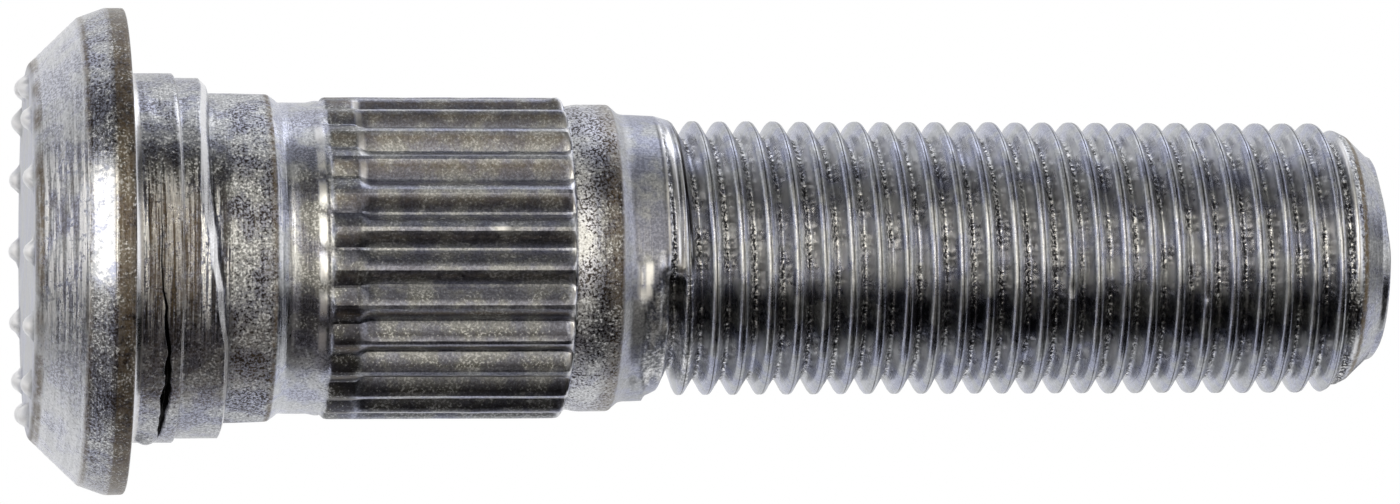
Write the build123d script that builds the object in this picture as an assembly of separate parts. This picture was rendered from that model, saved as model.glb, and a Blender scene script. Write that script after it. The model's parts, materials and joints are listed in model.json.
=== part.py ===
from build123d import *
import os
from math import radians, sin

# A wheel stud, headed and rolled from one length of steel wire, in millimetres and degrees.
# It stands on its head: the origin is under the middle of the head and +Z runs along the axis to the point.

# Head: a ring of small raised pips on the face, then a cone and a rim
PIP_COUNT = 14
PIP_RING_DIAMETER = 15.4
PIP_DIAMETER = 1.1
PIP_HEIGHT = 0.5
FACE_DIAMETER = 17.1
CONE_DIAMETER = 21.5
CONE_HEIGHT = 2.3
RIM_DIAMETER = 22.4
RIM_TAPER_HEIGHT = 1.2
RIM_HEIGHT = 0.9
RIM_BEVEL = 0.15

# Collar behind the head, with a step whose far end slants
SEAT_FILLET = 0.3
COLLAR_DIAMETER = 17.0
COLLAR_LENGTH = 2.35
COLLAR_BEVEL = 0.1
STEP_DIAMETER = 16.6
STEP_LENGTH = 1.8
STEP_SLANT = 4.0
STEP_SLANT_TOWARDS = 50.0

# Plain shank and the relief groove ahead of the serration
SHANK_DIAMETER = 15.2
SHANK_LENGTH = 2.45
SHOULDER_LENGTH = 0.75
RELIEF_DIAMETER = 14.36
RELIEF_LENGTH = 0.65
RELIEF_RISE_LENGTH = 1.05

# Serration: straight V grooves rolled into the shank, shallow over the lead and full depth after it
SERRATION_COUNT = 26
SERRATION_DIAMETER = 14.88
SERRATION_LENGTH = 11.4
SERRATION_DEPTH = 0.6
SERRATION_CHAMFER = 0.25
CREST_WIDTH = 0.22
ROOT_WIDTH = 0.18
LEAD_DEPTH = 0.3
LEAD_LENGTH = 1.3
LEAD_RAMP_LENGTH = 0.55
FIRST_CREST_ANGLE = -86.5

# Necks between the serration and the thread
NECK_DIAMETER = 14.22
NECK_LENGTH = 1.9
NECK_TAPER_LENGTH = 0.58
PILOT_DIAMETER = 13.2
PILOT_LENGTH = 1.68
RUNOUT_LENGTH = 0.7

# Thread at its major diameter, and the point
THREAD_DIAMETER = 12.65
THREAD_LENGTH = 30.75
POINT_LEAD_LENGTH = 1.15
POINT_LEAD_DIAMETER = 11.5
POINT_CHAMFER_LENGTH = 0.95
DOG_DIAMETER = 9.6
DOG_LENGTH = 0.45
DOG_BEVEL = 0.1

# Heights along the axis, each one stacked on the one before
FACE_Z = PIP_HEIGHT
CONE_Z = FACE_Z + CONE_HEIGHT
RIM_Z = CONE_Z + RIM_TAPER_HEIGHT
SEAT_Z = RIM_Z + RIM_HEIGHT
COLLAR_Z = SEAT_Z + COLLAR_LENGTH
STEP_Z = COLLAR_Z + STEP_LENGTH
SHANK_Z = STEP_Z + SHANK_LENGTH
SHOULDER_Z = SHANK_Z + SHOULDER_LENGTH
RELIEF_Z = SHOULDER_Z + RELIEF_LENGTH
SERRATION_Z = RELIEF_Z + RELIEF_RISE_LENGTH
NECK_Z = SERRATION_Z + SERRATION_LENGTH
NECK_TAPER_Z = NECK_Z + NECK_LENGTH
PILOT_Z = NECK_TAPER_Z + NECK_TAPER_LENGTH
RUNOUT_Z = PILOT_Z + PILOT_LENGTH
THREAD_Z = RUNOUT_Z + RUNOUT_LENGTH
POINT_Z = THREAD_Z + THREAD_LENGTH
CHAMFER_Z = POINT_Z + POINT_LEAD_LENGTH
DOG_Z = CHAMFER_Z + POINT_CHAMFER_LENGTH
END_Z = DOG_Z + DOG_LENGTH


def turned_body():
    """Everything that is round, revolved from one outline of diameter, height and corner radius."""
    serration_end_diameter = SERRATION_DIAMETER - 2 * SERRATION_CHAMFER
    corners = [
        (FACE_DIAMETER, FACE_Z, 0),
        (CONE_DIAMETER, CONE_Z, 0),
        (RIM_DIAMETER, RIM_Z, 0),
        (RIM_DIAMETER, SEAT_Z - RIM_BEVEL, 0),
        (RIM_DIAMETER - 2 * RIM_BEVEL, SEAT_Z, 0),
        (COLLAR_DIAMETER, SEAT_Z, SEAT_FILLET),
        (COLLAR_DIAMETER, COLLAR_Z - COLLAR_BEVEL, 0),
        (COLLAR_DIAMETER - 2 * COLLAR_BEVEL, COLLAR_Z, 0),
        (SHANK_DIAMETER, COLLAR_Z, 0),
        (SHANK_DIAMETER, SHANK_Z, 0),
        (RELIEF_DIAMETER, SHOULDER_Z, 0),
        (RELIEF_DIAMETER, RELIEF_Z, 0),
        (serration_end_diameter, SERRATION_Z, 0),
        (SERRATION_DIAMETER, SERRATION_Z + SERRATION_CHAMFER, 0),
        (SERRATION_DIAMETER, NECK_Z - SERRATION_CHAMFER, 0),
        (serration_end_diameter, NECK_Z, 0),
        (NECK_DIAMETER, NECK_Z, 0),
        (NECK_DIAMETER, NECK_TAPER_Z, 0),
        (PILOT_DIAMETER, PILOT_Z, 0),
        (PILOT_DIAMETER, RUNOUT_Z, 0),
        (THREAD_DIAMETER, THREAD_Z, 0),
        (THREAD_DIAMETER, POINT_Z, 0),
        (POINT_LEAD_DIAMETER, CHAMFER_Z, 0),
        (DOG_DIAMETER, DOG_Z, 0),
        (DOG_DIAMETER, END_Z - DOG_BEVEL, 0),
        (DOG_DIAMETER - 2 * DOG_BEVEL, END_Z, 0),
    ]
    points = [(diameter / 2, height) for diameter, height, _ in corners]
    rounds = [corner_round for _, _, corner_round in corners]
    with BuildPart() as body:
        with BuildSketch(Plane.XZ):
            with BuildLine():
                outline = FilletPolyline((0, FACE_Z), *points, (0, END_Z), radius=rounds)
                Line(outline @ 1, outline @ 0)
            make_face()
        revolve(axis=Axis.Z)
    return body.part


def head_pips():
    """Low round pips on the head face; the stud stands on them."""
    pip = Pos(0, 0, PIP_HEIGHT / 2) * Cylinder(PIP_DIAMETER / 2, PIP_HEIGHT)
    return [place * pip for place in PolarLocations(PIP_RING_DIAMETER / 2, PIP_COUNT)]


def collar_step():
    """The smaller step of the collar, its far end cut by a plane that slants across the axis."""
    end_plane = Plane.XY.offset(STEP_Z).rotated((0, -STEP_SLANT, STEP_SLANT_TOWARDS), Extrinsic.XYZ)
    on_its_end = (Align.CENTER, Align.CENTER, Align.MIN)
    blank = Pos(0, 0, SEAT_Z) * Cylinder(STEP_DIAMETER / 2, SHANK_Z - SEAT_Z, align=on_its_end)
    return split(blank, bisect_by=end_plane, keep=Keep.BOTTOM)


def groove_section(depth, flank_depth, height):
    """Section of one V groove. Its flanks slope so that a groove as deep as flank_depth fills the pitch."""
    crest_radius = SERRATION_DIAMETER / 2
    pitch_width = 2 * crest_radius * sin(radians(180 / SERRATION_COUNT))
    half_root = ROOT_WIDTH / 2
    flank_run = (pitch_width - CREST_WIDTH) / 2 - half_root
    slope = flank_run / flank_depth
    mouth = half_root + slope * (depth + SERRATION_DEPTH)
    root_x = crest_radius - depth
    mouth_x = crest_radius + SERRATION_DEPTH
    outline = Polyline((root_x, -half_root), (mouth_x, -mouth), (mouth_x, mouth), (root_x, half_root), close=True)
    return Pos(0, 0, height) * make_face(outline)


def serration_grooves():
    """All the V grooves: wide and shallow over the lead, then a ramp down to the full run up to the neck."""
    lead_end = SERRATION_Z + LEAD_LENGTH
    ramp_end = lead_end + LEAD_RAMP_LENGTH
    lead = loft([
        groove_section(LEAD_DEPTH, LEAD_DEPTH, SERRATION_Z),
        groove_section(LEAD_DEPTH, LEAD_DEPTH, ramp_end),
    ], ruled=True)
    run = loft([
        groove_section(LEAD_DEPTH, SERRATION_DEPTH, lead_end),
        groove_section(SERRATION_DEPTH, SERRATION_DEPTH, ramp_end),
        groove_section(SERRATION_DEPTH, SERRATION_DEPTH, NECK_Z),
    ], ruled=True)
    pitch = 360 / SERRATION_COUNT
    first_root = FIRST_CREST_ANGLE + pitch / 2
    turns = [Rot(0, 0, first_root + pitch * index) for index in range(SERRATION_COUNT)]
    return [turn * groove for turn in turns for groove in (lead, run)]


def wheel_stud():
    """The finished stud as one solid."""
    body = turned_body() + collar_step() + head_pips()
    return body - serration_grooves()


if __name__ == "__main__":
    os.makedirs("parts", exist_ok=True)
    export_step(wheel_stud(), "parts/wheel_stud.step")
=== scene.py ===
import json
from math import cos, pi, radians, sin

import bpy
import numpy as np
from mathutils import Matrix, Vector


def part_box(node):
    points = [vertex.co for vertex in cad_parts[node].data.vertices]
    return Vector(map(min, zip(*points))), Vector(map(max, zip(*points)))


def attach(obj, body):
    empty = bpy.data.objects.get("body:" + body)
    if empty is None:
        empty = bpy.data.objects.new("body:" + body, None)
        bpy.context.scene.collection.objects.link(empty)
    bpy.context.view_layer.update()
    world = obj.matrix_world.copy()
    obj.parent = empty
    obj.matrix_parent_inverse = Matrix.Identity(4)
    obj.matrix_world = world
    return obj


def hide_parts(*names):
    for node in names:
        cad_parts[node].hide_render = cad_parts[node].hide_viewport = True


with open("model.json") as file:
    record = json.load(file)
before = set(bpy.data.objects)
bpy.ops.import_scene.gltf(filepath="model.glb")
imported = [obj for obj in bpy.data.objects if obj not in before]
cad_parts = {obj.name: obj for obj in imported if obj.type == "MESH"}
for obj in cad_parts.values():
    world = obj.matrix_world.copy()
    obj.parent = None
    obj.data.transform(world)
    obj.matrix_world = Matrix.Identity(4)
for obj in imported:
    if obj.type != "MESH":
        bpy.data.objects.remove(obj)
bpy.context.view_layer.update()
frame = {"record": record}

# The looks of a zinc-plated wheel stud that stands on its head. Lengths are in millimetres unless a name says metres.
# An angle round the axis is in degrees, from the camera's side (-Y) towards +X.

MM = 0.001
MOUNTS = {mount["name"]: mount for mount in frame["record"]["mounts"]}
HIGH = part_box("wheel_stud")[1]


def middle_height(mount):
    """Height of a mount's middle above the floor."""
    return MOUNTS[mount]["pos_m"][2] / MM


# Sizes that the frame gives
RIM_RADIUS = HIGH.x / MM
END_Z = HIGH.z / MM
SEAT_Z = middle_height("head_seat")
CREST_RADIUS = MOUNTS["serration"]["dims"]["r_mm"]
SERRATION_HALF = MOUNTS["serration"]["dims"]["length_mm"] / 2
SERRATION_START = middle_height("serration") - SERRATION_HALF
SERRATION_END = middle_height("serration") + SERRATION_HALF
THREAD_RADIUS = MOUNTS["thread"]["dims"]["r_mm"]
THREAD_HALF = MOUNTS["thread"]["dims"]["length_mm"] / 2
THREAD_START = middle_height("thread") - THREAD_HALF
THREAD_END = middle_height("thread") + THREAD_HALF

# Head
FACE_Z = 0.5
CONE_RADIUS = 10.75
CONE_Z = SEAT_Z - 2.1
LAND_Z = SEAT_Z - 0.9
HEAD_SHIFT = 0.3
PIP_COUNT = 14
PIP_RING = 7.7
PIP_RADIUS = 0.55
PIP_CROWDING = 2.6
TURNING_RINGS = 26
TURNING_DEPTH = 0.012

# Collar and its slanted step
COLLAR_RADIUS = 8.5
COLLAR_END = SEAT_Z + 2.3
STEP_RADIUS = 8.3
SLOPE_FALL = 0.3
SLOPE_SHARE = 0.78

# Shank, relief and necks
SHANK_RADIUS = 7.6
SHOULDER_Z = SEAT_Z + 6.6
RELIEF_RADIUS = 7.18
NECK_RADIUS = 7.11
NECK_FALL_Z = SERRATION_END + 1.95
PILOT_RADIUS = 6.63
PILOT_Z = NECK_FALL_Z + 0.75
PILOT_END = THREAD_START - 0.75

# Serration
TOOTH_COUNT = 26
CREST_TURN = 3.5
CREST_WIDTH = 0.18
ROOT_WIDTH = 0.12
GROOVE_DEPTH = 0.6
LEAD_DEPTH = 0.3
LEAD_LENGTH = 1.3
RAMP_LENGTH = 0.5
TEETH_END = SERRATION_END - 0.2

# Thread: the crest is an arc and the flanks lean 30 degrees from the radius
PITCH = 1.27
CREST_FLAT = 0.13
CREST_ROUND = 0.13
THREAD_DEPTH = 0.72
FIRST_CREST = THREAD_START + 1.1 + PITCH / 4
GROOVE_START = THREAD_START - 0.468
SEAM_DEPTH = 0.01
SEAM_PHASE = 0.02
SEAM_WIDTH = 0.012
PHASES = np.array([0.01, 0.03, 0.05, 0.11, 0.18, 0.245, 0.34, 0.43, 0.5, 0.57, 0.66, 0.755, 0.84, 0.91, 0.95, 0.99])
CHAMFER_Z = THREAD_END + 1.15

# Camera
CAMERA_TILT = 7.7
CAMERA_DISTANCE = 353.2
CAMERA_FOCAL_PIXELS = 7600
PHOTO_WIDTH = 1400
CAMERA_AIM = Vector((-0.28, 0, SEAT_Z + 26.81))


def ease(start, end, value):
    """0 before start, 1 after end, and a smooth rise between them."""
    share = np.clip((value - start) / (end - start), 0, 1)
    return share * share * (3 - 2 * share)


def band(height, low, high, soft=0.05):
    """1 between two heights and 0 outside them, with soft ends."""
    return ease(low - soft, low + soft, height) * (1 - ease(high - soft, high + soft, height))


def wander(turn, height, around, along, seed):
    """Smooth seeded noise from -1 to 1 on the unrolled surface: so many cells a turn, each so long."""
    rows = int(END_Z / along) + 3
    grid = np.random.default_rng(seed).uniform(-1, 1, (around, rows))
    across = turn / 360 * around
    up = np.clip(height / along, 0, rows - 2)
    left = np.floor(across).astype(int)
    below = np.floor(up).astype(int)
    a = ease(0, 1, across - left)
    b = ease(0, 1, up - below)
    lower = grid[left % around, below] * (1 - a) + grid[(left + 1) % around, below] * a
    upper = grid[left % around, below + 1] * (1 - a) + grid[(left + 1) % around, below + 1] * a
    return lower * (1 - b) + upper * b


def round_the_axis(turn, stops):
    """A value at each angle, joined smoothly between (angle, value) stops and closed on itself."""
    angles = np.array([stop[0] for stop in stops])
    values = np.array([stop[1] for stop in stops])
    angles = np.concatenate([angles[-1:] - 360, angles, angles[:1] + 360])
    values = np.concatenate([values[-1:], values, values[:1]])
    spot = (turn - angles[1]) % 360 + angles[1]
    index = np.clip(np.searchsorted(angles, spot, side="right") - 1, 0, len(angles) - 2)
    share = ease(0, 1, (spot - angles[index]) / (angles[index + 1] - angles[index]))
    return values[index] * (1 - share) + values[index + 1] * share


def spot(turn, height, place, size):
    """1 at a place (angle, height), fading to 0 at the edge of an oval of that size (degrees, length)."""
    across = ((turn - place[0] + 180) % 360 - 180) / size[0]
    along = (height - place[1]) / size[1]
    return np.clip(1 - across ** 2 - along ** 2, 0, 1) ** 2


def front(turn, start, end, soft):
    """1 between two angles on the camera's side and 0 beyond them, with soft ends."""
    aside = (turn + 180) % 360 - 180
    return ease(start - soft, start + soft, aside) * (1 - ease(end - soft, end + soft, aside))


# Columns of points round the axis: two crest edges, two root edges and two flank middles for each tooth

def tooth_angles():
    """Angles of all the columns."""
    pitch = 360 / TOOTH_COUNT
    degrees_a_mm = 180 / pi / CREST_RADIUS
    root = ROOT_WIDTH / 2 * degrees_a_mm
    crest = CREST_WIDTH / 2 * degrees_a_mm
    flank = crest + 0.35 * (pitch / 2 - root - crest)
    offsets = np.array([-crest, crest, flank, pitch / 2 - root, pitch / 2 + root, pitch - flank])
    return np.concatenate([CREST_TURN + pitch * tooth + offsets for tooth in range(TOOTH_COUNT)])


COLUMNS = tooth_angles()
GROOVE_SHARE = np.tile([0, 0, 0.2, 1, 1, 0.2], TOOTH_COUNT)
SHARP_COLUMNS = np.tile([True, True, False, True, True, False], TOOTH_COUNT)


def ring(radius, height, turn=COLUMNS):
    """One ring of points as (angle, radius, height) columns."""
    return np.stack(np.broadcast_arrays(turn, radius, height), axis=1).astype(float)


def rings_along(outline):
    """Plain round rings for a list of (radius, height)."""
    return [ring(radius, height) for radius, height in outline]


def line(start, end, count):
    """(radius, height) points from start to end, both included."""
    share = np.linspace(0, 1, count)[:, None]
    return [tuple(point) for point in np.array(start) * (1 - share) + np.array(end) * share]


def head_rings():
    """Face with its pips, cone with its turning lines, taper, rim and seat."""
    cone = line((8.66, FACE_Z + 0.12), (CONE_RADIUS - 0.04, CONE_Z - 0.05), TURNING_RINGS)
    depths = np.random.default_rng(11).uniform(-TURNING_DEPTH, TURNING_DEPTH, TURNING_RINGS)
    rings = face_rings()
    rings += rings_along([(radius + depth, height) for (radius, height), depth in zip(cone, depths)])
    rings += rings_along([(CONE_RADIUS, CONE_Z)])
    rings += rings_along(line((CONE_RADIUS + 0.03, CONE_Z + 0.08), (RIM_RADIUS - 0.06, LAND_Z - 0.15), 6))
    rings += rings_along([(RIM_RADIUS - 0.03, LAND_Z - 0.06), (RIM_RADIUS - 0.012, LAND_Z)])
    rings += rings_along([(RIM_RADIUS - 0.003, LAND_Z + 0.06)])
    rings += rings_along(line((RIM_RADIUS, LAND_Z + 0.15), (RIM_RADIUS - 0.01, SEAT_Z - 0.12), 5))
    rings += rings_along([(RIM_RADIUS - 0.03, SEAT_Z - 0.04), (RIM_RADIUS - 0.1, SEAT_Z + 0.01)])
    rings += rings_along(line((RIM_RADIUS - 0.4, SEAT_Z + 0.03), (COLLAR_RADIUS + 0.5, SEAT_Z + 0.03), 4))
    fillet = 0.4
    bend = [(COLLAR_RADIUS + fillet * (1 - sin(turn)), SEAT_Z + 0.03 + fillet * (1 - cos(turn)))
            for turn in np.linspace(0, pi / 2, 5)]
    return rings + rings_along(bend)


def face_rings():
    """Head face; its columns crowd towards the pips, which have the roundness of a bead."""
    inner = PIP_RING - PIP_RADIUS
    outer = PIP_RING + PIP_RADIUS
    face = [(1.5, 0), (3.0, 0), (4.4, 0), (5.4, 0.3), (6.3, 0.7)]
    face += [(radius, 1) for radius in np.linspace(inner - 0.02, outer + 0.02, 11)]
    face += [(8.36, 0.7), (8.46, 0.3), (8.54, 0)]
    even = COLUMNS[0] + 360 / len(COLUMNS) * np.arange(len(COLUMNS))
    crowded = even - PIP_CROWDING * np.sin(np.radians(even * PIP_COUNT))
    rings = []
    for radius, crowding in face:
        turn = COLUMNS + (crowded - COLUMNS) * crowding
        sag = 0.05 * ease(8.36, 8.54, radius)
        rings.append(ring(radius, FACE_Z + sag - pip_height(turn, radius), turn))
    return rings


def pip_height(turn, radius):
    """Height of the rounded pips above the head face."""
    spacing = 360 / PIP_COUNT
    aside = (turn + spacing / 2) % spacing - spacing / 2
    across = np.hypot(radius - PIP_RING, radius * np.radians(aside))
    return FACE_Z * np.clip(1 - (across / PIP_RADIUS) ** 2, 0, 1) ** 0.6


def collar_rings():
    """Collar with its lap crack, then the step with the slanted end."""
    crack, width, depth = crack_line(COLUMNS)
    lip = 0.06 * ease(0.05, 0.3, depth)
    left = crack - width / 2
    right = crack + width / 2
    start = SEAT_Z + 0.5
    rings = []
    for share in np.linspace(0, 1, 9)[:-1]:
        rings.append(ring(COLLAR_RADIUS + lip * share ** 3, start + (left - 0.05 - start) * share))
    rings.append(ring(COLLAR_RADIUS + lip, left - 0.03))
    rings.append(ring(COLLAR_RADIUS + lip * 0.6, left))
    rings.append(ring(COLLAR_RADIUS - depth * 0.5, left + width * 0.15))
    rings.append(ring(COLLAR_RADIUS - depth, crack - width * 0.1))
    rings.append(ring(COLLAR_RADIUS - depth, crack + width * 0.15))
    rings.append(ring(COLLAR_RADIUS - depth * 0.6, right - width * 0.12))
    rings.append(ring(COLLAR_RADIUS - depth * 0.06, right + 0.01))
    end = COLLAR_END - 0.1
    for share in np.linspace(0, 1, 6)[1:]:
        rings.append(ring(COLLAR_RADIUS, right + 0.03 + (end - right - 0.03) * share))
    rings.append(ring(COLLAR_RADIUS - 0.05, COLLAR_END - 0.04))
    rings.append(ring(STEP_RADIUS + 0.04, COLLAR_END))
    rings.append(ring(STEP_RADIUS, COLLAR_END + 0.06))
    edge, slope = step_edge(COLUMNS)
    first = COLLAR_END + 0.06
    for share in np.linspace(0, 1, 9)[1:]:
        rings.append(ring(STEP_RADIUS, first + (edge - 0.06 - first) * share))
    for share in np.linspace(0, 1, 6):
        rings.append(ring(STEP_RADIUS - SLOPE_FALL * share, edge + SLOPE_SHARE * slope * share))
    rings.append(ring(SHANK_RADIUS + 0.2, edge + 0.9 * slope))
    rings.append(ring(SHANK_RADIUS + 0.03, edge + slope))
    return rings


def crack_line(turn):
    """Height, width and depth of the lap crack in the collar at each angle."""
    rise = round_the_axis(turn, [(-36, 1.4), (-18, 1.3), (7, 1.28), (18, 1.52), (30, 1.68), (43, 1.62), (61, 1.5),
                                 (80, 1.45), (180, 1.4)])
    width = round_the_axis(turn, [(-36, 0.03), (0, 0.07), (18, 0.12), (30, 0.26), (43, 0.36), (61, 0.22),
                                  (75, 0.06), (180, 0.03)])
    depth = round_the_axis(turn, [(-36, 0.0), (-10, 0.07), (8, 0.1), (18, 0.25), (30, 0.5), (43, 0.55), (61, 0.4),
                                  (78, 0.0), (180, 0.0)])
    ragged = wander(turn, np.zeros_like(turn), 120, 5, 12)
    return SEAT_Z + rise + 0.05 * ragged, width * (1 + 0.4 * np.roll(ragged, 3)), depth


def step_edge(turn):
    """Height of the slanted end of the step, and the length of the slope down to the shank."""
    rise = round_the_axis(turn, [(-76, 3.4), (-45, 3.15), (-22, 3.02), (-3, 3.42), (13, 3.78), (33, 4.2),
                                 (67, 4.32), (120, 4.2), (180, 3.85), (235, 3.55)])
    slope = round_the_axis(turn, [(-48, 0.45), (-17, 0.65), (9, 0.5), (33, 0.25), (67, 0.15), (180, 0.2)])
    return SEAT_Z + rise, slope


def shank_rings():
    """Plain shank from the step to its shoulder, and the relief up to the serration."""
    edge, slope = step_edge(COLUMNS)
    start = edge + slope + 0.08
    rings = []
    for share in np.linspace(0, 1, 12):
        height = start + (SHOULDER_Z - 0.1 - start) * share
        rings.append(ring(SHANK_RADIUS - 0.05 * share, height))
    rings += rings_along([(SHANK_RADIUS - 0.06, SHOULDER_Z - 0.02), (SHANK_RADIUS - 0.1, SHOULDER_Z + 0.06)])
    rings += rings_along([(SHANK_RADIUS - 0.2, SHOULDER_Z + 0.2), (SHANK_RADIUS - 0.3, SHOULDER_Z + 0.34)])
    rings += rings_along([(RELIEF_RADIUS + 0.02, SHOULDER_Z + 0.45), (RELIEF_RADIUS - 0.02, SHOULDER_Z + 0.54)])
    rings += rings_along(line((RELIEF_RADIUS, SHOULDER_Z + 0.74), (RELIEF_RADIUS, SHOULDER_Z + 1.3), 4))
    rise = SERRATION_START - SHOULDER_Z - 1.3
    for share in (0.2, 0.38, 0.48, 0.58, 0.68, 0.8, 0.92):
        swell = 0.05 * ease(0.45, 0.8, share) * (1 - GROOVE_SHARE)
        rings.append(ring(RELIEF_RADIUS + 0.04 * ease(0.35, 0.8, share) + swell, SHOULDER_Z + 1.3 + rise * share))
    return rings


def tooth_ring(height, crest, depth):
    """One ring of the serration, with its crests at one radius and its grooves to one depth."""
    return ring(crest - depth * GROOVE_SHARE, height)


def serration_rings():
    """Lead with shallow grooves, ramp to full depth, full run, and the run-out at the neck."""
    start = SERRATION_START
    lead_end = start + LEAD_LENGTH
    full = lead_end + RAMP_LENGTH
    end = TEETH_END
    rings = [tooth_ring(start, CREST_RADIUS - 0.2, 0.02)]
    rings += [tooth_ring(start + 0.07, CREST_RADIUS - 0.1, 0.15), tooth_ring(start + 0.16, CREST_RADIUS - 0.03, 0.26)]
    for share in np.linspace(0, 1, 5):
        rings.append(tooth_ring(start + 0.28 + (lead_end - start - 0.28) * share, CREST_RADIUS, LEAD_DEPTH))
    for share in (0.3, 0.65):
        depth = LEAD_DEPTH + (GROOVE_DEPTH - LEAD_DEPTH) * share
        rings.append(tooth_ring(lead_end + RAMP_LENGTH * share, CREST_RADIUS, depth))
    for height in np.linspace(full, end - 0.45, 22):
        rings.append(tooth_ring(height, CREST_RADIUS, GROOVE_DEPTH))
    rings += [tooth_ring(end - 0.3, CREST_RADIUS - 0.01, GROOVE_DEPTH - 0.04)]
    rings += [tooth_ring(end - 0.18, CREST_RADIUS - 0.04, GROOVE_DEPTH - 0.12)]
    rings += [tooth_ring(end - 0.08, CREST_RADIUS - 0.12, GROOVE_DEPTH - 0.24)]
    rings += [tooth_ring(end - 0.02, CREST_RADIUS - 0.22, GROOVE_DEPTH - 0.42)]
    return rings


def neck_rings():
    """Neck, its fall to the pilot, and the pilot up to the thread's first turn."""
    start = TEETH_END
    fall = NECK_FALL_Z
    rings = rings_along([(NECK_RADIUS - 0.13, start + 0.02), (NECK_RADIUS - 0.1, start + 0.1)])
    rings += rings_along([(NECK_RADIUS - 0.07, start + 0.3), (NECK_RADIUS - 0.02, start + 0.55)])
    rings += rings_along(line((NECK_RADIUS, start + 0.8), (NECK_RADIUS - 0.01, fall - 0.1), 7))
    rings += rings_along([(NECK_RADIUS - 0.03, fall), (NECK_RADIUS - 0.1, fall + 0.09)])
    rings += rings_along([(NECK_RADIUS - 0.22, fall + 0.22), (NECK_RADIUS - 0.34, fall + 0.36)])
    rings += rings_along([(PILOT_RADIUS + 0.07, fall + 0.48), (PILOT_RADIUS + 0.035, fall + 0.6)])
    rings += rings_along([(PILOT_RADIUS + 0.02, PILOT_Z)])
    rings += rings_along(line((PILOT_RADIUS + 0.02, PILOT_Z + 0.12), (PILOT_RADIUS - 0.03, PILOT_END), 12))
    return rings


def thread_drop(phase):
    """How far the thread lies under its crest: a narrow flat, an arc, then straight flanks down to the root."""
    aside = np.abs((phase + 0.5) % 1 - 0.5) * PITCH
    aside = np.maximum(aside - CREST_FLAT / 2, 0)
    arc_edge = CREST_ROUND * cos(radians(30))
    arc = CREST_ROUND - np.sqrt(CREST_ROUND ** 2 - np.minimum(aside, arc_edge) ** 2)
    flank = np.maximum(aside - arc_edge, 0) / np.tan(radians(30))
    return np.minimum(arc + flank, THREAD_DEPTH)


def thread_radius(height, phase):
    """Radius on the thread: the first groove starts short after the pilot, and the crests fall away at the point."""
    stops = [PILOT_END, THREAD_START, THREAD_START + 0.6, THREAD_END, CHAMFER_Z]
    crests = [PILOT_RADIUS - 0.03, THREAD_RADIUS + 0.06, THREAD_RADIUS + 0.03, THREAD_RADIUS - 0.005, 5.75]
    crest = np.interp(height, stops, crests)
    groove_height = height - PITCH * (phase - 0.5)
    begun = ease(GROOVE_START, GROOVE_START + 0.015, groove_height)
    ended = ease(THREAD_END + 0.1, THREAD_END + 0.8, height)
    radius = crest - thread_drop(phase) * begun * (1 - ended)
    seam = SEAM_DEPTH * is_seam(phase) * begun * (1 - ended)
    return np.maximum(radius, THREAD_RADIUS - THREAD_DEPTH) - seam


def is_seam(phase):
    """1 on the two rows beside the seam that rolling leaves along the crest."""
    return (np.abs(phase - SEAM_PHASE) < SEAM_WIDTH).astype(float)


def point_rings():
    """Chamfer after the thread, the dog point and the slightly domed end face."""
    drop = end_drop(COLUMNS)
    rings = rings_along(line((5.72, CHAMFER_Z + 0.03), (4.92, END_Z - 0.52), 7))
    edge = [(4.84, 0.44), (4.81, 0.36), (4.79, 0.22), (4.75, 0.12), (4.66, 0.06), (4.5, 0.035), (4.2, 0.025)]
    for radius, depth in edge:
        rings.append(ring(radius, END_Z - depth - drop * ease(0.5, 0.2, depth)))
    rings += rings_along([(3.2, END_Z - 0.015), (2.2, END_Z - 0.006), (1.1, END_Z - 0.002)])
    return rings


def end_drop(turn):
    """How far the worn edge of the end lies under the end's middle."""
    return round_the_axis(turn, [(-90, 0.1), (-45, 0.2), (-22, 0.12), (0, 0.0), (40, 0.0), (90, 0.06), (180, 0.02)])


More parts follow.
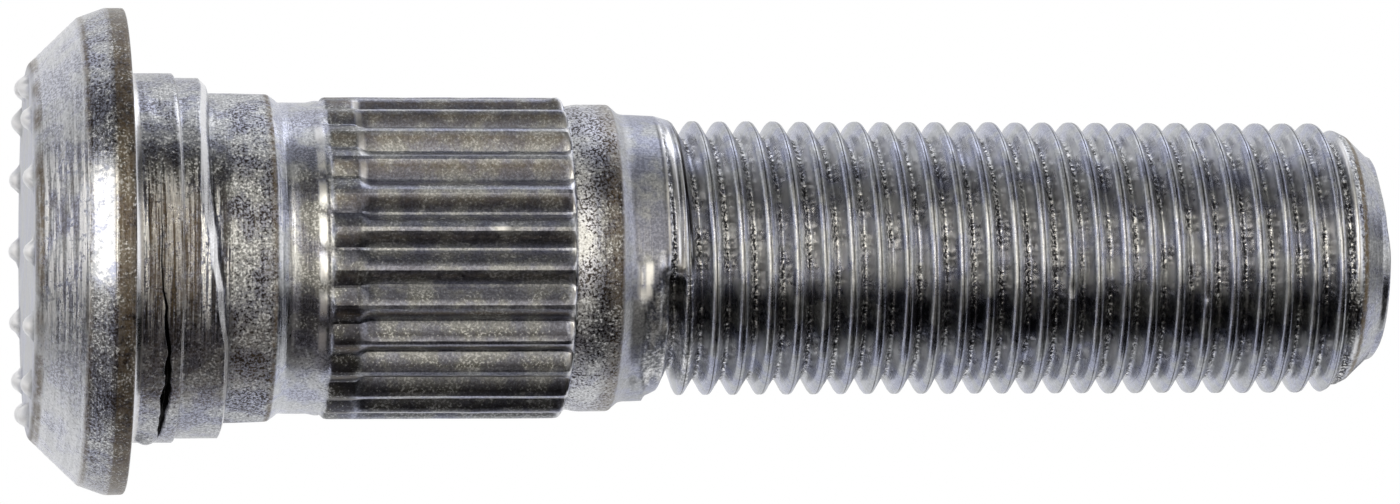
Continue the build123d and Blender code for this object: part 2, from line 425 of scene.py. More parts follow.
class Skin:
    """Points and faces of the whole stud, gathered ring by ring from the head face to the point."""

    def __init__(self):
        self.points = []
        self.faces = []

    def add(self, turn, radius, height, column=-1, phase=-1.0):
        self.points.append((turn, radius, height, column, phase))
        return len(self.points) - 1

    def add_ring(self, one):
        return [self.add(*point, column) for column, point in enumerate(one)]

    def join(self, below, above):
        count = len(below)
        for column in range(count):
            after = (column + 1) % count
            self.faces.append((below[column], below[after], above[after], above[column]))

    def add_rings(self, rings, below=None):
        for one in rings:
            above = self.add_ring(one)
            if below is not None:
                self.join(below, above)
            below = above
        return below

    def cap(self, edge, height, top):
        pole = self.add(0.0, 0.0, height)
        for column in range(len(edge)):
            after = (column + 1) % len(edge)
            pair = (edge[column], edge[after]) if top else (edge[after], edge[column])
            self.faces.append((*pair, pole))

    def add_thread(self, below, start, end):
        """Rows that follow the helix between two heights; returns the points of each column by row."""
        count = len(PHASES)
        columns = []
        for number, turn in enumerate(COLUMNS):
            column = {}
            first = int((start - FIRST_CREST) / PITCH - 3) * count
            last = int((end - FIRST_CREST) / PITCH + 3) * count
            for index in range(first, last):
                phase = PHASES[index % count]
                height = FIRST_CREST + PITCH * (index // count + phase + turn / 360)
                if start < height < end:
                    column[index] = self.add(turn, THREAD_RADIUS, height, number, phase)
            columns.append(column)
        for number, column in enumerate(columns):
            wraps = number + 1 == len(columns)
            after = columns[0] if wraps else columns[number + 1]
            shift = count if wraps else 0
            self.join_thread(column, after, shift, below[number], below[(number + 1) % len(columns)])
        return columns

    def join_thread(self, column, after, shift, corner, next_corner):
        """Faces between two columns of helix points, from the ring below to the last pair."""
        here = sorted(column)
        there = sorted(index - shift for index in after)
        first = max(here[0], there[0])
        self.faces.append((corner, next_corner, after[first + shift], column[first]))
        for index in range(here[0], first):
            self.faces.append((corner, column[index + 1], column[index]))
        for index in range(there[0], first):
            self.faces.append((next_corner, after[index + shift], after[index + 1 + shift]))
        for index in range(first, min(here[-1], there[-1])):
            self.faces.append((column[index], after[index + shift], after[index + 1 + shift], column[index + 1]))

    def close_thread(self, columns, above):
        """Faces between the last helix points and the first ring of the point."""
        for number, column in enumerate(columns):
            wraps = number + 1 == len(columns)
            after = columns[0] if wraps else columns[number + 1]
            shift = len(PHASES) if wraps else 0
            corner = above[number]
            next_corner = above[(number + 1) % len(columns)]
            here = max(column)
            there = max(after) - shift
            last = min(here, there)
            self.faces.append((column[last], after[last + shift], next_corner, corner))
            for index in range(last, here):
                self.faces.append((column[index], next_corner, column[index + 1]))
            for index in range(last, there):
                self.faces.append((after[index + shift], after[index + 1 + shift], corner))


def build_skin():
    """The stud as one closed skin of points and faces."""
    skin = Skin()
    first, *others = head_rings()
    head = skin.add_ring(first)
    skin.cap(head, FACE_Z, top=False)
    below = skin.add_rings(others, head)
    below = skin.add_rings(collar_rings() + shank_rings(), below)
    below = skin.add_rings(serration_rings() + neck_rings(), below)
    columns = skin.add_thread(below, PILOT_END + 0.05, CHAMFER_Z - 0.03)
    first, *others = point_rings()
    above = skin.add_ring(first)
    skin.close_thread(columns, above)
    skin.cap(skin.add_rings(others, above), END_Z, top=True)
    return skin


# Damage and wear in the surface itself

def galled(turn, height, phase):
    """1 where the foot of a thread flank is torn, in patches along the strip."""
    strip = ease(0.22, 0.3, phase) * (1 - ease(0.52, 0.6, phase))
    return strip * ease(-0.75, 0.0, wander(turn, height, 40, 0.7, 21))


def flap_edge(turn):
    """Height at which the scoop before the first groove starts."""
    return THREAD_START + round_the_axis(turn, [(4, -0.86), (13, -1.44), (25, -1.84), (45, -1.86), (69, -1.5),
                                                (100, -1.2), (150, -0.9), (200, -0.8)])


def scooped(turn, height):
    """0 to 1 across the scoop that laps over the pilot before the first groove."""
    start = flap_edge(turn)
    groove = GROOVE_START + PITCH * (turn % 360 - 7) / 360
    slope = ease(start, np.maximum(groove - 0.1, start + 0.3), height)
    return (0.4 * ease(start, start + 0.12, height) + 0.6 * slope) * (1 - ease(groove, groove + 0.6, height))


def broken(turn, height):
    """0 to 1 over the crumpled skin of the scoop and the torn first groove on the camera's side."""
    crumpled = front(turn, 4, 66, 4) * ease(-0.03, 0.08, height - flap_edge(turn)) * (height < THREAD_START)
    torn = patch(turn, height, (6, 66, PILOT_END - 0.1, THREAD_START + 0.6), 4, 0.1)
    return np.maximum(crumpled, torn)


def patch(turn, height, window, soft_turn=2.0, soft=0.05):
    """1 inside a window of (first angle, last angle, low height, high height), with soft edges."""
    return front(turn, window[0], window[1], soft_turn) * band(height, window[2], window[3], soft)


FACET = (1, 17, SEAT_Z + 23.12, SEAT_Z + 23.85)
GOUGE = (7, 28, THREAD_START - 1.06, THREAD_START - 0.02)


def lap_line(turn):
    """Height of the lap that rolling left on the first crest."""
    return THREAD_START + round_the_axis(turn, [(-60, 0.06), (-53, 0.09), (-33, 0.13), (-17, 0.27), (-3, 0.37),
                                                (4, 0.33), (180, 0.2)])


def first_lines(turn, height):
    """0 to 1 over the fine ridges between the pilot and the first crest."""
    return front(turn, -70, 5, 8) * band(height, THREAD_START - 0.95, lap_line(turn) - 0.05)


def first_ridges(height):
    """1 on the fine ridges before the first crest and -1 in the valleys between them."""
    return np.cos((height - THREAD_START) / 0.36 * 2 * pi)


def dents(turn, height, phase):
    """Change of radius by nicks, burrs, the scoop before the thread and torn thread flanks."""
    change = -0.14 * spot(turn, height, (-53, SEAT_Z + 1.3), (4, 0.45))
    change += 0.3 * spot(turn, height, (76, SEAT_Z + 0.95), (9, 0.7))
    change += 0.13 * spot(turn, height, (-10, SEAT_Z + 16.67), (3, 0.28))
    change += 0.1 * spot(turn, height, (-79, SEAT_Z + 19.9), (6, 0.35))
    change += patch(turn, height, FACET) * (0.17 * (height - FACET[2]) - 0.1)
    change -= 0.22 * patch(turn, height, GOUGE, 1.5, 0.06)
    change += 0.03 * broken(turn, height) * wander(turn, height, 70, 0.25, 23)
    change -= 0.18 * spot(turn, height, (56, SEAT_Z + 23.19), (7, 0.3))
    change += 0.16 * spot(turn, height, (3, THREAD_START - 0.9), (4, 0.3))
    for place in [(13.5, 43.24), (7, 41.02), (16.5, 49.48), (-56, 49.43), (-54, 50.48), (28, 30.3), (-20, 36.1)]:
        change -= 0.1 * spot(turn, height, (place[0], SEAT_Z + place[1]), (3.5, 0.3))
    depth = round_the_axis(turn, [(-10, 0.0), (8, 0.1), (30, 0.16), (60, 0.3), (90, 0.55), (120, 0.4), (160, 0.0)])
    change -= depth * scooped(turn, height)
    change += 0.035 * first_lines(turn, height) * first_ridges(height)
    change += 0.05 * galled(turn, height, phase) * wander(turn, height, 110, 0.18, 22)
    return change


def wobble(turn, height):
    """Small unevenness of the whole surface, none of it on the head face."""
    coarse = 0.012 * wander(turn, height, 30, 1.3, 1) + 0.008 * wander(turn, height, 90, 0.5, 2)
    return coarse * ease(FACE_Z + 0.1, FACE_Z + 0.4, height)


# Finish of each zone: start height, roughness, speckle, turning lines, grime and paleness.
# Paleness runs from 0 for dark worn plating through 1 for bright plating to 2 for polish; the pips and the seat's
# fillet carry it as a painted highlight.
FINISHES = [
    # Pips: a painted highlight, which lightens the shade on their sides
    (0.0, 0.6, 0.1, 0.0, 0.0, 2.0),
    (FACE_Z - 0.06, 0.6, 0.15, 0.0, 0.0, 1.35),
    (FACE_Z + 0.14, 0.28, 0.5, 1.0, 0.03, 1.35),
    (CONE_Z + 0.03, 0.2, 0.9, 0.2, 0.15, 0.65),
    (LAND_Z + 0.08, 0.32, 1.0, 0.15, 0.7, 0.12),
    # Seat's fillet: a painted highlight ring
    (SEAT_Z + 0.02, 0.26, 0.2, 0.15, 0.05, 1.7),
    (SEAT_Z + 0.48, 0.27, 0.8, 1.0, 0.12, 0.8),
    (COLLAR_END + 0.05, 0.28, 0.7, 0.9, 0.08, 0.8),
    (SEAT_Z + 4.5, 0.48, 1.0, 0.15, 0.08, 1.05),
    (SHOULDER_Z, 0.26, 0.3, 0.4, 0.0, 1.1),
    (SHOULDER_Z + 0.8, 0.3, 0.5, 0.1, 0.08, 1.1),
    (SERRATION_START + 0.1, 0.34, 0.4, 0.0, 0.06, 0.32),
    (TEETH_END, 0.34, 1.0, 0.1, 0.12, 1.25),
    (NECK_FALL_Z - 0.05, 0.42, 0.3, 0.1, 0.15, 1.1),
    (PILOT_Z, 0.42, 0.35, 0.1, 0.05, 0.88),
    (PILOT_END, 0.28, 0.25, 0.3, 0.0, 0.85),
    (THREAD_END + 0.6, 0.34, 1.0, 0.3, 0.05, 0.65),
    (CHAMFER_Z + 0.05, 0.28, 0.4, 0.1, 0.12, 0.92),
]


def finish_value(height, field):
    """One field of the zones' finishes at each height, with short blends between zones."""
    starts = [row[0] for row in FINISHES]
    values = [row[field] for row in FINISHES]
    blend = 0.03
    heights = [starts[0]]
    steps = [values[0]]
    for start, before, after in zip(starts[1:], values, values[1:]):
        heights += [start - blend, start + blend]
        steps += [before, after]
    return np.interp(height, heights, steps)


def grime_lines(turn, height):
    """Brown lines in corners and along edges."""
    grime = 0.75 * band(height, FACE_Z + 0.04, FACE_Z + 0.4, 0.07) * ease(-0.9, 0.3, wander(turn, height, 50, 3, 31))
    grime += 0.25 * band(height, FACE_Z + 0.3, CONE_Z - 0.1) * front(turn, -28, 14, 8)
    grime += 0.5 * band(height, CONE_Z - 0.08, CONE_Z + 0.22, 0.06) * (1 - 0.7 * front(turn, -27, 11, 4))
    grime += 0.2 * band(height, LAND_Z - 0.1, LAND_Z + 0.06)
    grime += 0.5 * band(height, SEAT_Z + 0.36, SEAT_Z + 0.44, 0.04)
    grime += 0.6 * band(height, SEAT_Z + 0.7, SEAT_Z + 3.0, 0.2) * front(turn, -22, 18, 8)
    grime += 0.4 * band(height, SEAT_Z + 0.5, SHOULDER_Z - 0.2, 0.2) * front(turn, 22, 52, 8)
    grime += 0.7 * band(height, SHOULDER_Z - 0.14, SHOULDER_Z, 0.03)
    grime += 0.5 * ease(NECK_FALL_Z - 1.1, NECK_FALL_Z - 0.2, height) * (height < NECK_FALL_Z + 0.03)
    grime += band(height, CHAMFER_Z - 0.14, CHAMFER_Z + 0.1, 0.04)
    return grime


def shadowed(turn, height, radius, phase):
    """1 where black is painted as shade in the depths: the lap crack, the foot of the step, the thread's seam and the
    start of its first groove.
    """
    crack, width, depth = crack_line(turn)
    dark = ease(0.02, 0.09, COLLAR_RADIUS - radius) * band(height, crack - width / 2, crack + width / 2, 0.02)
    worn = 0.75 + 0.25 * wander(turn, height, 70, 5, 32)
    dark = np.maximum(dark, is_seam(phase) * (phase >= 0) * worn * (height < THREAD_END + 0.2))
    lap = band(height, lap_line(turn) - 0.08, lap_line(turn) + 0.08, 0.03)
    dark = np.maximum(dark, lap * front(turn, -80, 5, 3))
    valleys = first_lines(turn, height) * ease(-0.6, -0.95, first_ridges(height))
    dark = np.maximum(dark, 0.7 * valleys)
    flap = band(height, flap_edge(turn) - 0.02, flap_edge(turn) + 0.08, 0.03) * front(turn, 6, 70, 4)
    dark = np.maximum(dark, 0.6 * flap)
    edge, slope = step_edge(turn)
    foot = band(height, edge + 0.92 * slope, edge + slope + 0.07, 0.03)
    dark = np.maximum(dark, 0.55 * foot * front(turn, -50, 60, 10))
    gouge = 0.45 + 0.35 * wander(turn, height, 120, 0.2, 33)
    return np.maximum(dark, gouge * patch(turn, height, GOUGE, 1.5, 0.06))


def painted_highlights(turn, height, share, phase):
    """Painted highlights, given as paleness: on the step's slope, one side of the rim, the thread's flanks and the
    teeth.
    """
    edge, slope = step_edge(turn)
    slope_light = 1.8 * band(height, edge + 0.02, edge + SLOPE_SHARE * slope, 0.03)
    rim = 3.0 * band(height, CONE_Z + 0.12, LAND_Z + 0.06, 0.04) * front(turn, -22, 8, 6)
    collar_edge = 1.7 * band(height, COLLAR_END - 0.12, COLLAR_END + 0.05, 0.03) * front(turn, -62, 36, 8)
    lit = 0.85 * ease(0.58, 0.66, phase) * front(turn, -66, 52, 8)
    flank = (1.05 + lit) * ease(0.48, 0.54, phase) * (1 - ease(0.79, 0.86, phase))
    flank = flank * (1 - front(turn, 17, 36, 5))
    crest = 1.3 * ease(0.93, 0.95, phase) * front(turn, -40, 34, 10)
    lead_end = SERRATION_START + LEAD_LENGTH
    full = band(height, lead_end, TEETH_END - 0.2) * (0.85 * (share == 0) + 0.7 * (share == 1))
    ramp = band(height, lead_end + 0.1, lead_end + RAMP_LENGTH - 0.02) * (share > 0)
    ramp = ramp * (0.7 + 1.3 * front(turn, -80, -28, 6))
    ends = 1.6 * band(height, TEETH_END - 0.3, TEETH_END - 0.02)
    swells = 2.0 * band(height, SERRATION_START - 0.55, SERRATION_START - 0.15, 0.08) * (share < 0.3)
    swells = swells * ease(-1.3, -0.7, wander(turn, height, 50, 0.4, 44)) * front(turn, -60, 40, 12)
    facet = 2.0 * patch(turn, height, FACET) * ease(-0.8, -0.3, wander(turn, height, 90, 0.25, 45))
    taper_end = 0.95 * band(height, CONE_Z + 0.1, LAND_Z) * front(turn, -90, -38, 8)
    speck = 2.0 * ease(0.05, 0.3, spot(turn, height, (-10, SEAT_Z + 16.67), (3, 0.28)))
    ridges = 1.8 * first_lines(turn, height) * ease(0.3, 0.8, first_ridges(height))
    # Painted glints on the broken skin before the first groove
    broken_glints = 1.9 * broken(turn, height) * ease(-0.1, 0.3, wander(turn, height, 60, 0.3, 43))
    places = [slope_light, rim, taper_end, collar_edge, flank, crest, swells, full, ramp, ends, speck]
    places += [facet, ridges, broken_glints]
    return np.max(places, axis=0)


def painted_shade(turn, height, phase):
    """Painted shade taken off the paleness: the head, collar, shank, teeth and neck darker on the camera's side, and
    parts of the thread.
    """
    collar = 0.6 * band(height, SEAT_Z + 0.6, SEAT_Z + 4.2) * front(turn, -35, -20, 5)
    shank = 0.42 * band(height, SEAT_Z + 4.0, SHOULDER_Z - 0.1) * front(turn, -38, 14, 8)
    neck = 0.95 * ease(NECK_FALL_Z - 1.4, NECK_FALL_Z - 0.7, height) * (height < NECK_FALL_Z)
    cone = 0.35 * band(height, FACE_Z + 0.2, CONE_Z - 0.05) * front(turn, -28, 14, 8)
    relief = 0.85 * band(height, SHOULDER_Z + 1.0, SERRATION_START - 0.05, 0.1) * front(turn, -34, 30, 8)
    teeth = 0.32 * band(height, SERRATION_START, TEETH_END) * front(turn, 14, 80, 8)
    thread = 0.5 * ease(0.09, 0.15, phase) * (1 - ease(0.36, 0.42, phase))
    thread = thread + 0.6 * ease(0.12, 0.2, phase) * (1 - ease(0.78, 0.86, phase)) * front(turn, 17, 36, 5)
    return cone + collar + shank + relief + teeth + neck * front(turn, -36, 24, 10) + thread


def finish_fields(turn, radius, height, column, phase):
    """The named values of the finish, with its painted highlights and painted shade, at every point."""
    teeth = band(height, SERRATION_START + 0.2, TEETH_END - 0.1)
    share = GROOVE_SHARE[column.astype(int) % len(COLUMNS)]
    under_crest = (column.astype(int) % 6 == 2).astype(float)
    strips = galled(turn, height, phase) * (phase >= 0)
    torn = np.maximum(strips, 0.5 * broken(turn, height))
    # Paleness of the plating, less the painted shade, raised where painted highlights are paler
    plain = finish_value(height, 5) - painted_shade(turn, height, phase)
    pale_with_painted_light = np.maximum(plain, painted_highlights(turn, height, share, phase))
    grime = finish_value(height, 4) + grime_lines(turn, height)
    near_side = front(turn, -27, 24, 8)
    on_collar = band(height, SEAT_Z + 0.3, SEAT_Z + 4.3, 0.1)
    grime += teeth * (0.1 * (share == 0) + 0.5 * under_crest)
    return {
        "roughness": finish_value(height, 1),
        "speckle": np.maximum(finish_value(height, 2) * (1 - 0.85 * ease(1.2, 1.9, pale_with_painted_light)), 0.9 * strips),
        "lines": finish_value(height, 3) * (1 - ease(1.6, 1.9, pale_with_painted_light)) * (1 - 0.75 * on_collar * (1 - near_side)),
        "scored": 0.5 + 0.5 * on_collar,
        "pale_with_painted_light": pale_with_painted_light,
        # Tool lines all round, with painted sheen on their streaks mostly on the camera's side
        "wear_and_sheen": 0.15 + 0.85 * near_side,
        # The taper, where the painted highlight breaks up
        "ragged": band(height, CONE_Z + 0.05, LAND_Z + 0.1),
        "grime": np.clip(grime, 0, 1),
        "galled": torn,
        "shadowed": shadowed(turn, height, radius, phase),
    }


def to_places(turn, radius, height):
    """Points in metres, with the head a little off the axis."""
    behind = np.clip((radius - COLLAR_RADIUS) / 2, 0, 1) * (height < SEAT_Z + 0.3)
    on_head = np.where(height < SEAT_Z - 0.01, 1, behind)
    angle = np.radians(turn)
    x = radius * np.sin(angle) - HEAD_SHIFT * on_head
    return np.stack([x, -radius * np.cos(angle), height], axis=1) * MM


def keep_edges_sharp(mesh, column, height):
    """Marks the edges along the crests and roots of the teeth as sharp."""
    ends = np.zeros(len(mesh.edges) * 2, dtype=np.int32)
    mesh.edges.foreach_get("vertices", ends)
    first, second = ends.reshape(-1, 2).T
    same = (column[first] == column[second]) & (column[first] >= 0)
    marked = SHARP_COLUMNS[column[first].astype(int) % len(COLUMNS)]
    low = np.minimum(height[first], height[second])
    high = np.maximum(height[first], height[second])
    sharp = same & marked & (low > SERRATION_START + 0.05) & (high < TEETH_END - 0.05)
    flags = mesh.attributes.new("sharp_edge", "BOOLEAN", "EDGE")
    flags.data.foreach_set("value", sharp)


def wheel_stud():
    """The mesh that is seen in place of the plain solid."""
    skin = build_skin()
    turn, radius, height, column, phase = np.array(skin.points).T
    radius = np.where(phase >= 0, thread_radius(height, phase), radius)
    fields = finish_fields(turn, radius, height, column, phase)
    radius = radius + np.where(radius > 1, dents(turn, height, phase) + wobble(turn, height), 0)
    radius = np.minimum(radius, RIM_RADIUS)
    mesh = bpy.data.meshes.new("stud_skin")
    mesh.from_pydata(to_places(turn, radius, height).tolist(), [], skin.faces)
    mesh.polygons.foreach_set("use_smooth", np.ones(len(mesh.polygons), bool))
    keep_edges_sharp(mesh, column, height)
    for name, values in fields.items():
        mesh.attributes.new(name, "FLOAT", "POINT").data.foreach_set("value", values)
    mesh.validate()
    stud = bpy.data.objects.new("stud_skin", mesh)
    bpy.context.scene.collection.objects.link(stud)
    stud.data.materials.append(zinc_plated_steel())
    return stud


class Nodes:
    """Short ways to add and join shader nodes in one material."""

    def __init__(self, material):
        material.use_nodes = True
        self.tree = material.node_tree
        self.shader = self.tree.nodes["Principled BSDF"]

    def put(self, socket, value):
        if isinstance(value, bpy.types.NodeSocket):
            self.tree.links.new(value, socket)
        else:
            socket.default_value = value

    def field(self, name):
        node = self.tree.nodes.new("ShaderNodeAttribute")
        node.attribute_name = name
        return node.outputs["Fac"]

    def place(self, scale):
        """Places on the object, with so many noise units a millimetre along each axis."""
        coordinates = self.tree.nodes.new("ShaderNodeTexCoord")
        mapping = self.tree.nodes.new("ShaderNodeMapping")
        mapping.inputs["Scale"].default_value = [units / MM for units in scale]
        self.put(mapping.inputs["Vector"], coordinates.outputs["Object"])
        return mapping.outputs["Vector"]

    def noise(self, scale, detail, roughness=0.5):
        node = self.tree.nodes.new("ShaderNodeTexNoise")
        self.put(node.inputs["Vector"], self.place(scale))
        self.put(node.inputs["Scale"], 1)
        self.put(node.inputs["Detail"], detail)
        self.put(node.inputs["Roughness"], roughness)
        return node.outputs["Fac"]

    def between(self, value, low, high, to_low=0.0, to_high=1.0):
        node = self.tree.nodes.new("ShaderNodeMapRange")
        node.interpolation_type = "SMOOTHSTEP"
        for name, given in (("Value", value), ("From Min", low), ("From Max", high),
                            ("To Min", to_low), ("To Max", to_high)):
            self.put(node.inputs[name], given)
        return node.outputs["Result"]

    def maths(self, operation, first, second):
        node = self.tree.nodes.new("ShaderNodeMath")
        node.operation = operation
        self.put(node.inputs[0], first)
        self.put(node.inputs[1], second)
        return node.outputs[0]

    def mix(self, share, first, second):
        node = self.tree.nodes.new("ShaderNodeMix")
        node.data_type = "RGBA"
        self.put(node.inputs["Factor"], share)
        self.put(node.inputs["A"], first)
        self.put(node.inputs["B"], second)
        return node.outputs["Result"]

    def bump(self, height, strength, depth, normal=None):
        node = self.tree.nodes.new("ShaderNodeBump")
        self.put(node.inputs["Height"], height)
        self.put(node.inputs["Strength"], strength)
        self.put(node.inputs["Distance"], depth * MM)
        if normal is not None:
            self.put(node.inputs["Normal"], normal)
        return node.outputs["Normal"]


DARK_LAVENDER = (0.082, 0.085, 0.108, 1)
DARK_GREENISH = (0.095, 0.096, 0.09, 1)
PALE_LAVENDER = (0.4, 0.422, 0.54, 1)
PALE_GREENISH = (0.43, 0.445, 0.475, 1)
PIT = (0.03, 0.026, 0.03, 1)
# Polish, also the colour of the painted highlights, sheen and glints
POLISH_AND_HIGHLIGHT = (0.88, 0.88, 0.9, 1)
GLINT = (0.84, 0.85, 0.88, 1)
LINE_DARK = (0.04, 0.036, 0.036, 1)
GRIME = (0.11, 0.077, 0.04, 1)
# Dark of torn metal, with painted shade for its roughness
TORN_DARK_AND_SHADE = (0.04, 0.04, 0.045, 1)
# Black for painted shade
SHADE_BLACK = (0.006, 0.005, 0.005, 1)


def zinc_plated_steel():
    """Worn zinc plating: pitted, streaked by the tools, torn at the thread roots and brown where dirt stays, with
    painted highlights, painted sheen and painted shade.
    """
    material = bpy.data.materials.new("zinc_plated_steel")
    nodes = Nodes(material)
    speckle = nodes.field("speckle")
    lines = nodes.field("lines")
    torn = nodes.field("galled")
    depths = nodes.field("shadowed")
    fine = nodes.noise((8.5, 8.5, 8.5), 3, 0.7)
    mottle = nodes.noise((0.7, 0.7, 0.7), 4, 0.6)
    streak = nodes.noise((0.22, 0.22, 6), 4, 0.6)
    rough_foot = nodes.noise((6, 6, 6), 2, 0.7)
    dirt = nodes.noise((3, 3, 3), 4, 0.7)

    patches = nodes.between(mottle, 0.4, 0.6)
    # Paleness mixes dark and pale plating; above 1 it adds polish and the painted highlights
    pale_with_painted_light = nodes.field("pale_with_painted_light")
    colour = nodes.mix(pale_with_painted_light, nodes.mix(patches, DARK_LAVENDER, DARK_GREENISH),
                       nodes.mix(patches, PALE_LAVENDER, PALE_GREENISH))
    # Noise breaks up the painted highlight on the taper
    highlight_breakup = nodes.maths("MULTIPLY", nodes.between(dirt, 0.35, 0.65, -2.0, 0.0), nodes.field("ragged"))
    colour = nodes.mix(nodes.maths("ADD", pale_with_painted_light, nodes.maths("SUBTRACT", highlight_breakup, 1.0)), colour, POLISH_AND_HIGHLIGHT)
    clustered = nodes.maths("ADD", fine, nodes.between(mottle, 0.35, 0.65, -0.07, 0.05))
    pits = nodes.maths("MULTIPLY", nodes.between(clustered, 0.49, 0.39), speckle)
    colour = nodes.mix(pits, colour, PIT)
    glints = nodes.maths("MULTIPLY", nodes.between(clustered, 0.56, 0.64), speckle)
    colour = nodes.mix(glints, colour, GLINT)
    # Tool lines, partly wear and mostly painted sheen on the camera's side; their polished dashes are painted
    # highlights
    line_wear_and_sheen = nodes.maths("MULTIPLY", lines, nodes.field("wear_and_sheen"))
    scored = nodes.maths("MULTIPLY", line_wear_and_sheen, nodes.field("scored"))
    scores = nodes.maths("MULTIPLY", nodes.between(streak, 0.49, 0.4), scored)
    colour = nodes.mix(scores, colour, LINE_DARK)
    dashes = nodes.maths("MULTIPLY", nodes.between(streak, 0.5, 0.54), nodes.between(dirt, 0.4, 0.48))
    wear_and_sheen = nodes.maths("MULTIPLY", dashes, line_wear_and_sheen)
    colour = nodes.mix(wear_and_sheen, colour, POLISH_AND_HIGHLIGHT)
    # The torn metal's dark colour, with painted shade for its roughness
    torn_shade = nodes.maths("MULTIPLY", nodes.between(rough_foot, 0.53, 0.45), torn)
    colour = nodes.mix(torn_shade, colour, TORN_DARK_AND_SHADE)
    # Painted glints in the torn metal
    broken_glints = nodes.maths("MULTIPLY", nodes.between(rough_foot, 0.55, 0.61), torn)
    colour = nodes.mix(broken_glints, colour, POLISH_AND_HIGHLIGHT)
    soiled = nodes.maths("MULTIPLY", nodes.between(dirt, 0.3, 0.6, 0.35, 1.0), nodes.field("grime"))
    colour = nodes.mix(soiled, colour, GRIME)
    # Painted shade: black in cracks, the seam, valleys, the step's foot and the gouge
    colour = nodes.mix(depths, colour, SHADE_BLACK)
    nodes.put(nodes.shader.inputs["Base Color"], colour)

    cleaned = nodes.between(soiled, 0.2, 1.0, 1.0, 0.35)
    grains = nodes.between(glints, 0.0, 1.0, 1.0, 0.5)
    nodes.put(nodes.shader.inputs["Metallic"], nodes.maths("MULTIPLY", cleaned, grains))
    roughness = nodes.maths("ADD", nodes.field("roughness"), nodes.between(mottle, 0.3, 0.7, -0.05, 0.06))
    nodes.put(nodes.shader.inputs["Roughness"], roughness)
    normal = nodes.bump(streak, lines, 0.12)
    normal = nodes.bump(fine, speckle, 0.02, normal)
    normal = nodes.bump(rough_foot, torn, 0.07, normal)
    nodes.put(nodes.shader.inputs["Normal"], normal)
    return material


def plain_material(name, colour):
    """A matt material of one colour for the stage."""
    material = bpy.data.materials.new(name)
    material.use_nodes = True
    shader = material.node_tree.nodes["Principled BSDF"]
    shader.inputs["Base Color"].default_value = (*colour, 1)
    shader.inputs["Roughness"].default_value = 1
    shader.inputs["Specular IOR Level"].default_value = 0
    return material


def stage_card(name, middle, right, up, size, material):
    """A flat card of the stage, in millimetres, facing right x up."""
    corners = [(-1, -1), (1, -1), (1, 1), (-1, 1)]
    places = [(middle + right * a * size[0] / 2 + up * b * size[1] / 2) * MM for a, b in corners]
    mesh = bpy.data.meshes.new(name)
    mesh.from_pydata([tuple(place) for place in places], [], [(0, 1, 2, 3)])
    card = bpy.data.objects.new(name, mesh)
    card.data.materials.append(material)
    bpy.context.scene.collection.objects.link(card)
    return card


def direction(turn):
    """Unit vector away from the axis at that angle."""
    return Vector((sin(radians(turn)), -cos(radians(turn)), 0))


def dark_card(name, middle, up, size, colour, faced=Vector((0, 0, 0))):
    """A dark card that faces a place on the axis and that only reflections show."""
    out = (middle - faced).normalized()
    right = up.cross(out).normalized()
    card = stage_card(name, middle, right, out.cross(right), size, plain_material(name, colour))
    card.visible_camera = False
    card.visible_diffuse = False
    card.visible_shadow = False


def floor():
    """Pale floor under the head, seen from above and clear from below."""
    material = plain_material("floor", (0.85, 0.85, 0.85))
    tree = material.node_tree
    clear = tree.nodes.new("ShaderNodeBsdfTransparent")
    geometry = tree.nodes.new("ShaderNodeNewGeometry")
    mix = tree.nodes.new("ShaderNodeMixShader")
    tree.links.new(geometry.outputs["Backfacing"], mix.inputs["Fac"])
    tree.links.new(tree.nodes["Principled BSDF"].outputs["BSDF"], mix.inputs[1])
    tree.links.new(clear.outputs["BSDF"], mix.inputs[2])
    tree.links.new(mix.outputs["Shader"], tree.nodes["Material Output"].inputs["Surface"])
    card = stage_card("floor", Vector((0, 0, 0)), Vector((1, 0, 0)), Vector((0, 1, 0)), (3000, 3000), material)
    card.visible_glossy = False
    card.visible_shadow = False


def white_world():
    """White for what the camera and reflections see, and a plain level of light for the rest."""
    world = bpy.data.worlds.new("studio")
    bpy.context.scene.world = world
    world.use_nodes = True
    tree = world.node_tree
    background = tree.nodes["Background"]
    background.inputs["Color"].default_value = (1, 1, 1, 1)
    rays = tree.nodes.new("ShaderNodeLightPath")
    seen = tree.nodes.new("ShaderNodeMath")
    seen.operation = "MAXIMUM"
    tree.links.new(rays.outputs["Is Camera Ray"], seen.inputs[0])
    tree.links.new(rays.outputs["Is Glossy Ray"], seen.inputs[1])
    through = tree.nodes.new("ShaderNodeMath")
    through.operation = "MAXIMUM"
    tree.links.new(seen.outputs[0], through.inputs[0])
    tree.links.new(rays.outputs["Is Transmission Ray"], through.inputs[1])
    level = tree.nodes.new("ShaderNodeMapRange")
    level.inputs["To Min"].default_value = 0.6
    level.inputs["To Max"].default_value = 1
    tree.links.new(through.outputs[0], level.inputs["Value"])
    tree.links.new(level.outputs["Result"], background.inputs["Strength"])


def soft_lamp(name, place, size, radiance, colour):
    """A square soft lamp that faces the middle of the stud."""
    lamp = bpy.data.lights.new(name, "AREA")
    lamp.shape = "RECTANGLE"
    lamp.size, lamp.size_y = size[0] * MM, size[1] * MM
    lamp.energy = radiance * pi * lamp.size * lamp.size_y
    lamp.color = colour
    holder = bpy.data.objects.new(name, lamp)
    target = Vector((0, 0, END_Z / 2))
    holder.matrix_world = Matrix.Translation(place * MM) @ (target - place).to_track_quat("-Z", "Y").to_matrix().to_4x4()
    holder.visible_camera = False
    bpy.context.scene.collection.objects.link(holder)


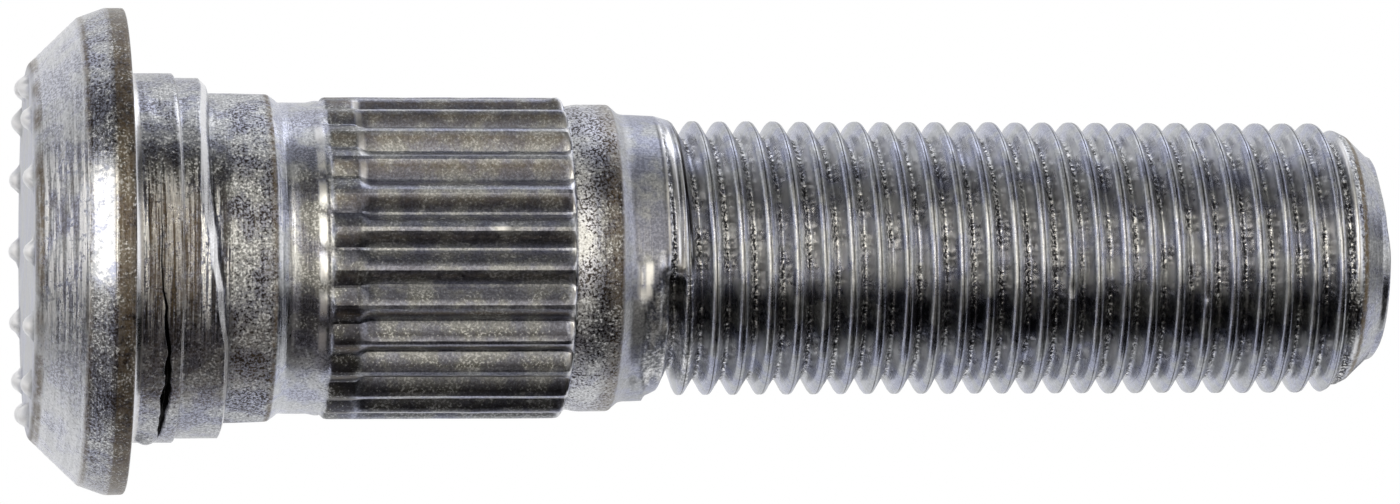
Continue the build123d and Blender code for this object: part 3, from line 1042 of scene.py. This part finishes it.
def lights():
    """Warm lamps in front and towards the head, weaker ones beside and over the point, and cards to reflect."""
    along = Vector((0, 0, 1))
    across = Vector((0, 1, 0))
    soft_lamp("front_lamp", direction(-21) * 600 + along * -80, (920, 150), 3.8, (1, 0.95, 0.79))
    soft_lamp("head_lamp", direction(-16) * 500 + along * -420, (720, 200), 1.0, (1, 0.97, 0.88))
    soft_lamp("point_lamp", Vector((-70, -270, 640)), (520, 420), 0.35, (1, 0.98, 0.92))
    soft_lamp("side_lamp", direction(-108) * 450 + along * 205, (260, 270), 1.4, (0.95, 0.97, 1))
    dark_card("front_card", direction(-12) * 700 + along * 60, along, (920, 900), (0.9, 0.83, 0.73))
    dark_card("lower_card", direction(55) * 90 + along * 205, along, (134, 360), (0, 0, 0), along * 205)
    dark_card("lower_near_card", direction(55) * 90 + along * -15, along, (134, 80), (0.2, 0.18, 0.17), along * -15)
    dark_card("upper_card", direction(-66) * 90 + along * 19, along, (98, 182), (0.6, 0.6, 0.6))
    dark_card("upper_core_card", direction(-57) * 84 + along * 19, along, (40, 182), (0.1, 0.1, 0.1))
    dark_card("lower_foot_card", direction(52) * 90 + along * -190, along, (110, 210), (0.25, 0.225, 0.2), along * -190)
    dark_card("head_side_card", Vector((45, 5, -117)), across, (60, 110), (0.1, 0.1, 0.1))
    dark_card("point_side_card", Vector((0.115, 0.72, 0.685)) * 150, along, (26, 60), (0, 0, 0))
    dark_card("upper_head_card", Vector((-0.42, 0.36, -0.82)) * 130, across, (34, 90), (0.2, 0.2, 0.2))
    dark_card("over_card", Vector((0, 60, 300)), across, (130, 130), (0.25, 0.25, 0.25))


def camera():
    """The photograph's viewpoint: a little towards the head, with the axis level in the picture."""
    tilt = radians(CAMERA_TILT)
    look = Vector((0, cos(tilt), sin(tilt)))
    right = Vector((0, -sin(tilt), cos(tilt)))
    up = right.cross(look)
    data = bpy.data.cameras.new("camera")
    data.sensor_fit = "HORIZONTAL"
    data.sensor_width = 36
    data.lens = CAMERA_FOCAL_PIXELS / PHOTO_WIDTH * data.sensor_width
    data.clip_start = 0.01
    data.clip_end = 10
    holder = bpy.data.objects.new("camera", data)
    turn = Matrix((right, up, -look)).transposed()
    holder.matrix_world = Matrix.Translation((CAMERA_AIM - look * CAMERA_DISTANCE) * MM) @ turn.to_4x4()
    bpy.context.scene.collection.objects.link(holder)
    bpy.context.scene.camera = holder


bpy.context.scene.view_settings.view_transform = "Standard"
stud = wheel_stud()
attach(stud, "root")
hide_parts("wheel_stud")
floor()
white_world()
lights()
camera()
